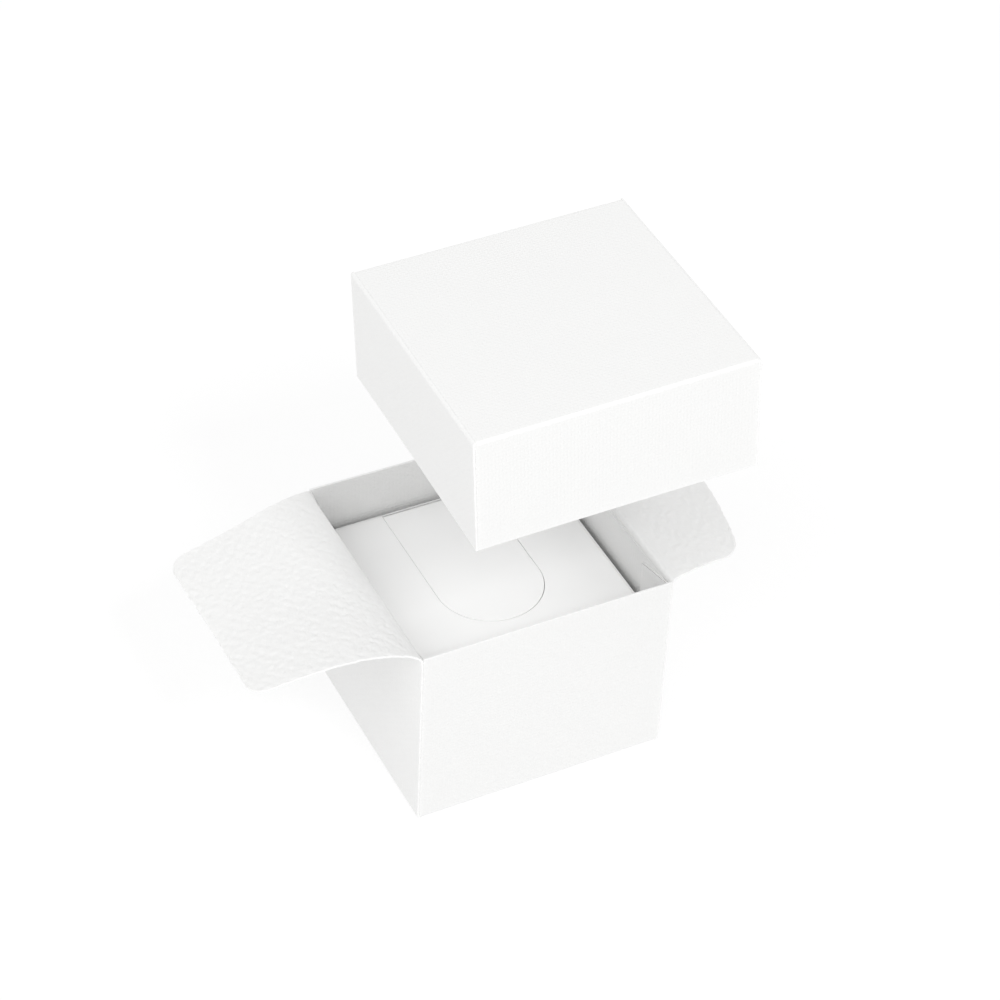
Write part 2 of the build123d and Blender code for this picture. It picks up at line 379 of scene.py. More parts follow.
@dataclass(frozen=True)
class Tray:
    """An open square tray folded from one blank, its flat panel down on z = 0.

    Its walls bow inwards by `bow` at the middle of their upper edges. A corner tab starts at
    `tab_foot`, ends `tab_drop` below the wall's top, and grows narrower by `tab_taper` at each end.
    """

    side: float
    height: float
    side_height: float
    bow: float = 0.12 * MM
    panel_wear: float = 0.32
    wear_shift: float = 0.3 * MM
    side_edge_is_cut: bool = True
    tab_length: float = 10.0 * MM
    tab_foot: float = 0.95 * MM
    tab_taper: float = 2.6 * MM
    tab_drop: float = 0.7 * MM
    corner_fold: float = 0.42 * MM
    fold_sink: float = 0.03 * MM
    side_inset: float = 0.02 * MM

    def corner(self) -> float:
        """Distance from the middle to the outer face of a corner tab."""
        return self.side / 2 - CARD - GLUE

    def panel(self) -> CardSheet:
        """The flat panel, facing down: x along the rows and -y along the columns."""
        half = self.side / 2 - FOLD
        x, y = graded_line(-half, half, GRID_STEP), graded_line(half, -half, GRID_STEP)
        grid_x, grid_y = np.meshgrid(x, y, indexing="ij")
        points = np.stack([grid_x, grid_y, np.full_like(grid_x, CARD / 2)], axis=-1)
        near = half - np.maximum(np.abs(grid_x), np.abs(grid_y))
        crease = self.panel_wear * np.exp(-((near + self.wear_shift) / CREASE_REACH) ** 2)
        card = np.stack([grid_x, grid_y], axis=-1)
        return CardSheet(points, card, (False, False, False, False), crease)

    def wall(self, half_span: float, height: float, top_is_cut: bool) -> CardSheet:
        """The front wall with the fold at its foot, rows upwards and columns from +x to -x.

        Args:
            half_span: half its length.
            height: its height.
            top_is_cut: whether its upper edge is cut, and doesn't meet a flap.

        Returns:
            The wall.
        """
        strip = FoldedStrip.of_length(height)
        x = graded_line(half_span, -half_span, GRID_STEP)
        shape = (len(strip.run), len(x))
        grid_x = np.broadcast_to(x, shape)
        cut = (False, top_is_cut, True, True)
        grid_y = np.broadcast_to((strip.inward - self.side / 2)[:, None], shape)
        grid_z = np.broadcast_to(strip.height[:, None], shape)
        points = np.stack([grid_x, grid_y + bowed(x, strip.run, self.bow), grid_z], axis=-1)
        card = np.stack([grid_x, np.broadcast_to(strip.run[:, None], shape)], axis=-1)
        return CardSheet(points, card, cut, np.broadcast_to(strip.crease[:, None], shape).copy())

    def tab(self) -> CardSheet:
        """The front left corner tab, rows round the corner and columns downwards.

        Its upper and lower ends draw in by tab_taper, in proportion to the distance from the fold,
        which is pressed into the wall's end.
        """
        strip = FoldedStrip.of_length(self.tab_length, self.corner_fold)
        share = np.clip((strip.height - FOLD) / (self.tab_length - FOLD), 0, 1)
        foot = self.tab_foot + self.tab_taper * share
        top = self.height - self.tab_drop - self.tab_taper * share
        down = graded_line(1.0, 0.0, GRID_STEP / self.height)
        down = (down - down.min()) / (down.max() - down.min())
        shape = (len(strip.run), len(down))
        grid_z = foot[:, None] + (top - foot)[:, None] * down[None, :]
        grid_x = np.broadcast_to((strip.inward - self.corner())[:, None], shape)
        start = self.fold_sink - self.side / 2
        grid_y = np.broadcast_to((strip.height + start)[:, None], shape)
        points = np.stack([grid_x, grid_y, grid_z], axis=-1)
        run = np.broadcast_to((self.side / 2 + strip.run)[:, None], shape)
        card = np.stack([run, grid_z], axis=-1)
        crease = np.broadcast_to(strip.crease[:, None], shape).copy()
        return CardSheet(points, card, (False, True, True, True), crease)

    def sheets(self) -> dict[str, CardSheet]:
        """Every panel of the tray by its name."""
        face = self.wall(self.corner(), self.height, True)
        flank = self.wall(self.side / 2 - self.side_inset, self.side_height, self.side_edge_is_cut)
        tab = self.tab()
        return {
            "panel": self.panel(),
            "front_wall": face,
            "back_wall": face.moved(turned(180)),
            "left_wall": flank.moved(turned(-90)),
            "right_wall": flank.moved(turned(90)),
            "front_left_tab": tab,
            "front_right_tab": tab.moved(mirrored(x=-1)),
            "back_left_tab": tab.moved(mirrored(y=-1)),
            "back_right_tab": tab.moved(mirrored(x=-1, y=-1)),
        }


# ---- Finishes -----------------------------------------------------------------------------------
class Ground(Enum):
    """The shader's own coordinates that a finish is laid out on."""

    CARD = "the piece's card map"
    OBJECT = "Object coordinates"


@dataclass(frozen=True)
class CardFinish:
    """A white card: its colours, its fine emboss and its fibres."""

    name: str
    colour: tuple[float, float, float]
    worn_colour: tuple[float, float, float]
    thread: tuple[float, float] = (0.64 * MM, 0.64 * MM)
    warp_share: float = 1.0
    weft_share: float = 1.0
    emboss_depth: float = 0.02 * MM
    fibre_depth: float = 0.006 * MM
    roughness: float = 0.62
    specular: float = 0.25
    mottle: float = 0.02
    ground: Ground = Ground.CARD


MOTTLE_ROUGHNESS = 0.16         # spread of roughness from a card's cloudy unevenness
WORN_ROUGHNESS = 0.1            # how much rougher a worn place is
HOLLOW_ROUGHNESS = 0.05         # how much rougher the hollows of the weave are
SHEEN = 0.06
SHEEN_ROUGHNESS = 0.6
WHITE = (0.865, 0.865, 0.86)                # the outside of the embossed card
INSIDE_PAINTED_LIGHT_WHITE = (0.945, 0.945, 0.94)         # painted light: a lighter white on its inside and the smooth card, brightening the shaded inside of the box
BARE_WHITE = (0.92, 0.92, 0.915)            # card worn bare
LID_CARD = CardFinish(
    "lid_card", WHITE, BARE_WHITE, warp_share=1.0, weft_share=0.7, emboss_depth=0.06 * MM,
)
BASE_CARD = CardFinish(
    "base_card", WHITE, BARE_WHITE, thread=(0.78 * MM, 0.7 * MM), warp_share=0.75,
    emboss_depth=0.06 * MM,
)
# The inner card, the flap lining and the smooth card take the lighter white: painted light for the
# shaded inside of the box.
INNER_CARD = CardFinish(
    "inner_card", INSIDE_PAINTED_LIGHT_WHITE, BARE_WHITE, thread=(0.78 * MM, 0.7 * MM), warp_share=0.75,
    emboss_depth=0.035 * MM,
)
FLAP_CARD = CardFinish(
    "flap_card", WHITE, BARE_WHITE, thread=(0.78 * MM, 0.7 * MM), warp_share=0.75,
    emboss_depth=0.06 * MM, fibre_depth=0.01 * MM,
)
FLAP_LINING = CardFinish(
    "flap_lining", INSIDE_PAINTED_LIGHT_WHITE, BARE_WHITE, thread=(0.78 * MM, 0.7 * MM), warp_share=0.75,
    emboss_depth=0.05 * MM, fibre_depth=0.01 * MM,
)
SMOOTH_CARD = CardFinish(
    "smooth_card", INSIDE_PAINTED_LIGHT_WHITE, BARE_WHITE, emboss_depth=0.0, fibre_depth=0.005 * MM,
    roughness=0.5, specular=0.3, mottle=0.015,
)
RAW_EDGE = CardFinish(
    "raw_edge", (0.92, 0.92, 0.91), BARE_WHITE, emboss_depth=0.0, fibre_depth=0.03 * MM,
    roughness=0.85, specular=0.1, mottle=0.05,
)
DRIED_GLUE = CardFinish(
    "dried_glue", (0.86, 0.83, 0.76), (0.9, 0.88, 0.82), emboss_depth=0.0,
    fibre_depth=0.02 * MM, roughness=0.4, specular=0.5, mottle=0.08, ground=Ground.OBJECT,
)


class Wiring:
    """Adds nodes to a tree, sets their values and links them."""

    def __init__(self, tree: bpy.types.NodeTree) -> None:
        """Keeps the tree and empties it."""
        self.tree = tree
        tree.nodes.clear()

    def add(self, kind: str, **inputs: object) -> bpy.types.Node:
        """Adds a node.

        Args:
            kind: the node's type.
            inputs: a value, or an output to link, for each input, by name with _ for a space, or
                by number as i0, i1 and so on. A name that isn't an input is set on the node.

        Returns:
            The node.
        """
        node = self.tree.nodes.new(kind)
        settings = {k: v for k, v in inputs.items() if hasattr(node, k)}
        for key, value in settings.items():
            setattr(node, key, value)
        for key, value in inputs.items():
            if key in settings:
                continue
            if key[0] == "i" and key[1:].isdigit():
                socket = node.inputs[int(key[1:])]
            else:
                socket = node.inputs[key.replace("_", " ")]
            if isinstance(value, bpy.types.NodeSocket):
                self.tree.links.new(value, socket)
            else:
                socket.default_value = value
        return node

    def math(self, operation: str, *values: object) -> bpy.types.NodeSocket:
        """The result of a Math node on up to three values or outputs."""
        inputs = {f"i{k}": value for k, value in enumerate(values)}
        return self.add("ShaderNodeMath", operation=operation, **inputs).outputs[0]


def shader_group(name: str, inputs: dict[str, str], outputs: list[str]) -> tuple:
    """Starts a shader node group with named sockets.

    Args:
        name: the group's name.
        inputs: socket type of each input by name.
        outputs: names of the outputs, all plain values.

    Returns:
        The group's tree, its wiring, and its input node.
    """
    tree = bpy.data.node_groups.new(name, "ShaderNodeTree")
    for label, kind in inputs.items():
        tree.interface.new_socket(name=label, in_out="INPUT", socket_type=kind)
    for label in outputs:
        tree.interface.new_socket(name=label, in_out="OUTPUT", socket_type="NodeSocketFloat")
    wiring = Wiring(tree)
    return tree, wiring, tree.nodes.new("NodeGroupInput")


class Effects:
    """The shader node groups that the finishes share, each built once."""

    def __init__(self) -> None:
        """Builds the three groups."""
        self.canvas = self.canvas_emboss()
        self.fibre = self.card_fibre()
        self.wear = self.edge_wear()

    def canvas_emboss(self) -> bpy.types.NodeTree:
        """A plain weave. Height is 1 on top of a thread and 0 in a hollow.

        With a and b the place in threads across and along, a warp thread's height is
        sqrt(|cos(pi a)|) * (0.5 + 0.5 * sign(cos(pi a)) * cos(pi b)), a weft thread's is
        sqrt(|cos(pi b)|) * (0.5 - 0.5 * sign(cos(pi b)) * cos(pi a)), and the weave is the larger.
        """
        kinds = {"Vector": "NodeSocketVector", "Thread Across": "NodeSocketFloat",
                 "Thread Along": "NodeSocketFloat", "Warp Share": "NodeSocketFloat",
                 "Weft Share": "NodeSocketFloat"}
        tree, wire, start = shader_group("canvas_emboss", kinds, ["Height", "Hollow"])
        vector = start.outputs["Vector"]
        drift = wire.add("ShaderNodeTexNoise", Vector=vector, Scale=260.0, Detail=2.0)
        centred = wire.math("SUBTRACT", drift.outputs["Fac"], 0.5)
        drift_size = wire.math("MULTIPLY", centred, 0.4 * MM)
        place = wire.add("ShaderNodeSeparateXYZ", i0=vector)
        waves = []
        for axis, thread in (("X", "Thread Across"), ("Y", "Thread Along")):
            moved = wire.math("ADD", place.outputs[axis], drift_size)
            count = wire.math("DIVIDE", moved, start.outputs[thread])
            waves.append(wire.math("COSINE", wire.math("MULTIPLY", count, math.pi)))
        heights = []
        shares = ("Warp Share", "Weft Share")
        for own, other, half, share in ((0, 1, 0.5, shares[0]), (1, 0, -0.5, shares[1])):
            profile = wire.math("SQRT", wire.math("ABSOLUTE", waves[own]))
            over = wire.math("MULTIPLY", wire.math("SIGN", waves[own]), waves[other])
            lift = wire.math("MULTIPLY_ADD", over, half, 0.5)
            heights.append(wire.math("MULTIPLY", wire.math("MULTIPLY", profile, lift),
                                     start.outputs[share]))
        weave = wire.math("SMOOTH_MAX", heights[0], heights[1], 0.2)
        hollow = wire.math("SUBTRACT", 1.0, weave)
        wire.add("NodeGroupOutput", Height=weave, Hollow=hollow)
        return tree

    def card_fibre(self) -> bpy.types.NodeTree:
        """Paper fibres. Height is a fine felt of them, Mottle a cloudy unevenness, both 0 to 1."""
        kinds = {"Vector": "NodeSocketVector"}
        tree, wire, start = shader_group("card_fibre", kinds, ["Height", "Mottle"])
        vector = start.outputs["Vector"]
        felt = wire.add("ShaderNodeTexNoise", Vector=vector, Scale=5200.0, Detail=4.0,
                        Roughness=0.6, Distortion=0.8)
        lint = wire.add("ShaderNodeTexNoise", Vector=vector, Scale=1500.0, Detail=3.0)
        cloud = wire.add("ShaderNodeTexNoise", Vector=vector, Scale=140.0, Detail=3.0)
        height = wire.math("MULTIPLY_ADD", felt.outputs["Fac"], 0.6,
                           wire.math("MULTIPLY", lint.outputs["Fac"], 0.4))
        mottle = wire.math("MULTIPLY_ADD", cloud.outputs["Fac"], 0.7,
                           wire.math("MULTIPLY", felt.outputs["Fac"], 0.3))
        wire.add("NodeGroupOutput", Height=height, Mottle=mottle)
        return tree

    def edge_wear(self) -> bpy.types.NodeTree:
        """Wear along folds and cut edges: the closeness to one, broken up by noise, 0 to 1."""
        kinds = {"Vector": "NodeSocketVector", "Closeness": "NodeSocketFloat"}
        tree, wire, start = shader_group("edge_wear", kinds, ["Mask"])
        vector = start.outputs["Vector"]
        scuffs = wire.add("ShaderNodeTexNoise", Vector=vector, Scale=900.0, Detail=4.0)
        broken = wire.math("MULTIPLY", start.outputs["Closeness"],
                           wire.math("MULTIPLY_ADD", scuffs.outputs["Fac"], 1.6, -0.1))
        mask = wire.math("MINIMUM", wire.math("MAXIMUM", broken, 0.0), 1.0)
        wire.add("NodeGroupOutput", Mask=mask)
        return tree


class Palette:
    """Makes each finish a material once."""

    def __init__(self) -> None:
        """Builds the shared effects."""
        self.effects = Effects()
        self.made: dict[str, bpy.types.Material] = {}

    def material(self, finish: CardFinish) -> bpy.types.Material:
        """The material of a finish.

        Args:
            finish: the card to make.

        Returns:
            Its material: colour from mottle and wear, relief from threads and fibres.
        """
        if finish.name in self.made:
            return self.made[finish.name]
        material = bpy.data.materials.new(finish.name)
        material.use_nodes = True
        wire = Wiring(material.node_tree)
        if finish.ground is Ground.CARD:
            vector = wire.add("ShaderNodeUVMap", uv_map=CARD_MAP).outputs["UV"]
        else:
            vector = wire.add("ShaderNodeTexCoord").outputs["Object"]
        fibre = wire.add("ShaderNodeGroup", node_tree=self.effects.fibre, Vector=vector)
        worn = wire.add("ShaderNodeAttribute", attribute_name=WORN).outputs["Fac"]
        wear = wire.add("ShaderNodeGroup", node_tree=self.effects.wear, Vector=vector,
                        Closeness=worn).outputs["Mask"]
        dark = tuple(c * (1 - finish.mottle) for c in finish.colour)
        card_colour = wire.add("ShaderNodeMix", data_type="RGBA", Factor=fibre.outputs["Mottle"])
        card_colour.inputs[6].default_value = (*dark, 1)
        card_colour.inputs[7].default_value = (*finish.colour, 1)
        colour = wire.add("ShaderNodeMix", data_type="RGBA", Factor=wear)
        wire.tree.links.new(card_colour.outputs[2], colour.inputs[6])
        colour.inputs[7].default_value = (*finish.worn_colour, 1)
        smoothest = finish.roughness - MOTTLE_ROUGHNESS / 2
        rough = wire.math("MULTIPLY_ADD", fibre.outputs["Mottle"], MOTTLE_ROUGHNESS, smoothest)
        rough = wire.math("MULTIPLY_ADD", wear, WORN_ROUGHNESS, rough)
        height = wire.math("MULTIPLY", fibre.outputs["Height"], finish.fibre_depth / MM)
        if finish.emboss_depth:
            weave = wire.add(
                "ShaderNodeGroup", node_tree=self.effects.canvas, Vector=vector,
                Thread_Across=finish.thread[0], Thread_Along=finish.thread[1],
                Warp_Share=finish.warp_share, Weft_Share=finish.weft_share,
            )
            depth = wire.add("ShaderNodeAttribute", attribute_name=WEAVE).outputs["Fac"]
            depth = wire.math("MULTIPLY", depth, finish.emboss_depth / MM)
            height = wire.math("MULTIPLY_ADD", weave.outputs["Height"], depth, height)
            rough = wire.math("MULTIPLY_ADD", weave.outputs["Hollow"], HOLLOW_ROUGHNESS, rough)
        bump = wire.add("ShaderNodeBump", Strength=1.0, Distance=MM, Height=height)
        shader = wire.add("ShaderNodeBsdfPrincipled", Base_Color=colour.outputs[2],
                          Roughness=rough, Normal=bump.outputs["Normal"])
        shader.inputs["Specular IOR Level"].default_value = finish.specular
        shader.inputs["Sheen Weight"].default_value = SHEEN
        shader.inputs["Sheen Roughness"].default_value = SHEEN_ROUGHNESS
        wire.add("ShaderNodeOutputMaterial", Surface=shader.outputs["BSDF"])
        self.made[finish.name] = material
        return material

    def dress(self, piece: bpy.types.Object, *finishes: CardFinish) -> None:
        """Gives a piece its finishes, one for each material slot."""
        piece.data.materials.clear()
        for finish in finishes:
            piece.data.materials.append(self.material(finish))


def install(piece: bpy.types.Object, body: str, slot: str, *nodes: str) -> None:
    """Rides a piece on its body in place of its CAD nodes, and reports it."""
    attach(piece, body)
    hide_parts(*nodes)
    LOG.info("%s: %d faces on %s", piece.name, len(piece.data.polygons), body)


# ---- The base and its flaps ---------------------------------------------------------------------
@dataclass(frozen=True)
class Base:
    """The fixed panels of the base."""

    tray: Tray = Tray(side=50 * MM, height=40 * MM, side_height=38.6 * MM, side_edge_is_cut=False)

    def build(self, palette: Palette) -> None:
        """Makes and dresses the base's panels, and its dried glue."""
        for name, sheet in self.tray.sheets().items():
            node = "base_bottom" if name == "panel" else f"base_{name}"
            piece = sheet.build(f"{node}_card")
            palette.dress(piece, BASE_CARD, INNER_CARD, RAW_EDGE)
            install(piece, "base", "embossed_card", node)
        palette.dress(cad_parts["base_glue"], DRIED_GLUE)


class Side(Enum):
    """The side of the base that a flap is hinged on, as the sign of x."""

    LEFT = -1
    RIGHT = 1


@dataclass(frozen=True)
class Flap:
    """A closing flap, with the last of the side wall that it is creased from.

    The rises are the flap's height above its crease at some distances from it, at its front and
    its back end, both in millimetres.
    """

    side: Side
    reach: float
    half_tip: float
    bulge: float
    front_rise: tuple[tuple[float, float], ...]
    back_rise: tuple[tuple[float, float], ...]
    seed: int
    crease_x: float = 25.2 * MM
    crease_z: float = 40.0 * MM
    wall_x: float = 24.8 * MM
    wall_top: float = 38.6 * MM
    turn_start: float = 39.3 * MM
    turn_end: float = 1.2 * MM
    blend_rise: float = 0.3 * MM
    wall_rows: int = 4
    half_root: float = 24.3 * MM
    half_wall: float = 24.85 * MM
    corner: float = 3.0 * MM
    corner_points: int = 22
    turn_points: int = 10
    turn_pull: float = 1.6 * MM
    dot_pitch: tuple[float, float] = (1.22 * MM, 1.72 * MM)
    dot_height: float = 0.075 * MM
    dot_shift: float = 0.62 * MM
    shift_pitch: tuple[float, float] = (1.9 * MM, 1.6 * MM)
    dot_mean: float = 0.7
    dot_spread: float = 0.55
    spread_pitch: float = 1.3 * MM
    grain: float = 0.85
    grain_pitch: float = 0.7 * MM
    dot_start: float = 0.6 * MM
    dot_fade: float = 2.0 * MM
    crease_wear: float = 0.8
    crease_reach: float = 0.5 * MM
    weave_fade: float = 2.0 * MM
    weave_left: float = 0.25

    def rise(self, distance: np.ndarray, y: np.ndarray) -> np.ndarray:
        """The flap's height above its crease.

        At each end it is the polynomial through the crease and the given heights, and between the
        ends it is interpolated straight, in proportion to y.

        Args:
            distance: distance from the crease, outwards.
            y: position along the crease.

        Returns:
            The height at each point.
        """
        heights = []
        for rise in (self.front_rise, self.back_rise):
            knots = np.array([(0.0, 0.0), *rise])
            fit = np.polyfit(knots[:, 0], knots[:, 1], len(knots) - 1)
            heights.append(np.polyval(fit, distance / MM) * MM)
        share = 0.5 + y / (2 * self.half_root)
        return heights[0] * (1 - share) + heights[1] * share

    def outline(self, steps: np.ndarray) -> tuple[np.ndarray, np.ndarray]:
        """Half width and distance of each row of the flap.

        The sides run straight from the crease to the tip. In the last stretch, as long as the
        corner radius c, the row at c * sin(a) is narrower by c * (1 - cos(a)).

        Args:
            steps: row positions from 0 at the turn's end to 1 at the corners' start.

        Returns:
            The distances from the crease and the half widths.
        """
        straight = self.turn_end + steps * (self.reach - self.corner - self.turn_end)
        turn = np.linspace(0, math.pi / 2, self.corner_points)[1:]
        distance = np.concatenate([straight, self.reach - self.corner * (1 - np.sin(turn))])
        half = self.half_root + (self.half_tip - self.half_root) * distance / self.reach
        half[len(straight):] -= self.corner * (1 - np.cos(turn))
        return distance, half

    def dots(self, run: np.ndarray, y: np.ndarray) -> np.ndarray:
        """The coarse emboss: staggered dots, cos(pi * run / p) * cos(pi * y / q), made uneven.

        Two noises shift the dots, a third varies their height and a fourth adds a grain. It fades
        in over dot_fade, past the crease.

        Args:
            run: distance from the crease along the card.
            y: position along the crease.

        Returns:
            The height of each point.
        """
        a = run + self.dot_shift * soft_noise(run, y, self.shift_pitch[0], self.seed)
        b = y + self.dot_shift * soft_noise(run, y, self.shift_pitch[1], self.seed + 1)
        wave = np.cos(math.pi * a / self.dot_pitch[0]) * np.cos(math.pi * b / self.dot_pitch[1])
        spread = self.dot_spread * soft_noise(run, y, self.spread_pitch, self.seed + 2)
        grain = self.grain * soft_noise(run, y, self.grain_pitch, self.seed + 3)
        fade = np.clip((run - self.dot_start) / self.dot_fade, 0, 1)
        return self.dot_height * fade * (wave * (self.dot_mean + spread) + grain)

    def sheet(self) -> CardSheet:
        """The left-hand form of the flap, rows from the wall to the tip and columns to the back.

        The rows climb the wall, then follow a cubic Hermite curve round the crease, straight up
        at its start and along the flap at its end, and then the flap's own rise.
        """
        columns = int(2 * self.half_wall / RELIEF_STEP)
        v = np.linspace(-1, 1, columns)
        count = int((self.reach - self.corner) / RELIEF_STEP)
        distance, half = self.outline(np.linspace(0, 1, count))
        span = np.abs(v)[None, :] * half[:, None]
        bow = self.bulge * (1 - (span / self.half_tip) ** 2) * (distance / self.reach)[:, None] ** 2
        flap_y = v[None, :] * half[:, None]
        flap_out = distance[:, None] + np.where(span < self.half_tip, bow, 0)
        flap_z = self.crease_z + self.rise(flap_out, flap_y)
        flap_x = self.crease_x + flap_out

        t = np.linspace(0, 1, self.turn_points)[:-1, None]
        start_y, end_y = v[None, :] * self.half_wall, flap_y[:1]
        turn_y = start_y + (end_y - start_y) * t
        slope = (flap_z[1:2] - flap_z[:1]) / (flap_x[1:2] - flap_x[:1])
        pull = self.turn_pull
        h0, h1 = 2 * t**3 - 3 * t**2 + 1, -2 * t**3 + 3 * t**2
        h2, h3 = t**3 - 2 * t**2 + t, t**3 - t**2
        turn_x = h0 * self.wall_x + h1 * flap_x[:1] + h3 * pull
        turn_z = h0 * self.turn_start + h1 * flap_z[:1] + h2 * pull + h3 * pull * slope

        wall_rows = np.linspace(self.wall_top, self.turn_start, self.wall_rows)[:-1, None]
        wall_z = np.broadcast_to(wall_rows, (self.wall_rows - 1, columns))
        x = np.concatenate([np.full_like(wall_z, self.wall_x), turn_x, flap_x])
        y = np.concatenate([np.broadcast_to(start_y, wall_z.shape), turn_y, flap_y])
        z = np.concatenate([wall_z, turn_z, flap_z])
        points = np.stack([-x, y, z], axis=-1)

        steps = np.linalg.norm(np.diff(points, axis=0), axis=-1)
        run = np.pad(np.cumsum(steps, axis=0), ((1, 0), (0, 0)))
        fold_run = (FOLD - CARD / 2) * math.pi / 2 + self.wall_top - FOLD
        card = np.stack([-y, run + fold_run], axis=-1)
        from_crease = run - (self.crease_z - self.wall_top)
        crease = self.crease_wear * np.exp(-((from_crease / self.crease_reach) ** 2))
        weave = np.clip(1 - from_crease / self.weave_fade, self.weave_left, 1)
        plain = CardSheet(points, card, (False, True, True, True), crease, weave)
        return plain.raised(-self.dots(from_crease, y))

    def build(self, palette: Palette) -> None:
        """Makes the flap, bends it across its crease and dresses it."""
        sign = float(self.side.value)
        name = f"{self.side.name.lower()}_flap"
        sheet = self.sheet().moved(mirrored(x=-sign))
        piece = sheet.build(f"{name}_card")
        palette.dress(piece, FLAP_CARD, FLAP_LINING, RAW_EDGE)
        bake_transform(piece)
        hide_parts(name)
        LOG.info("%s: %d faces from base to %s", piece.name, len(piece.data.polygons), name)


LONG_FLAP = Flap(
    Side.LEFT, reach=29.35 * MM, half_tip=20.0 * MM, bulge=0.0,
    front_rise=((7, 2.1), (15, 2.0), (23, 0.6), (32, -2.1)),
    back_rise=((7, 0.1), (15, -1.4), (23, -2.8), (32, -4.3)), seed=11,
)
SHORT_FLAP = Flap(
    Side.RIGHT, reach=14.45 * MM, half_tip=23.0 * MM, bulge=3.6 * MM,
    front_rise=((5, 0.4), (11, 0.3), (19.5, -0.6)),
    back_rise=((5, 1.2), (11, 1.9), (19.5, 2.3)), seed=31,
)


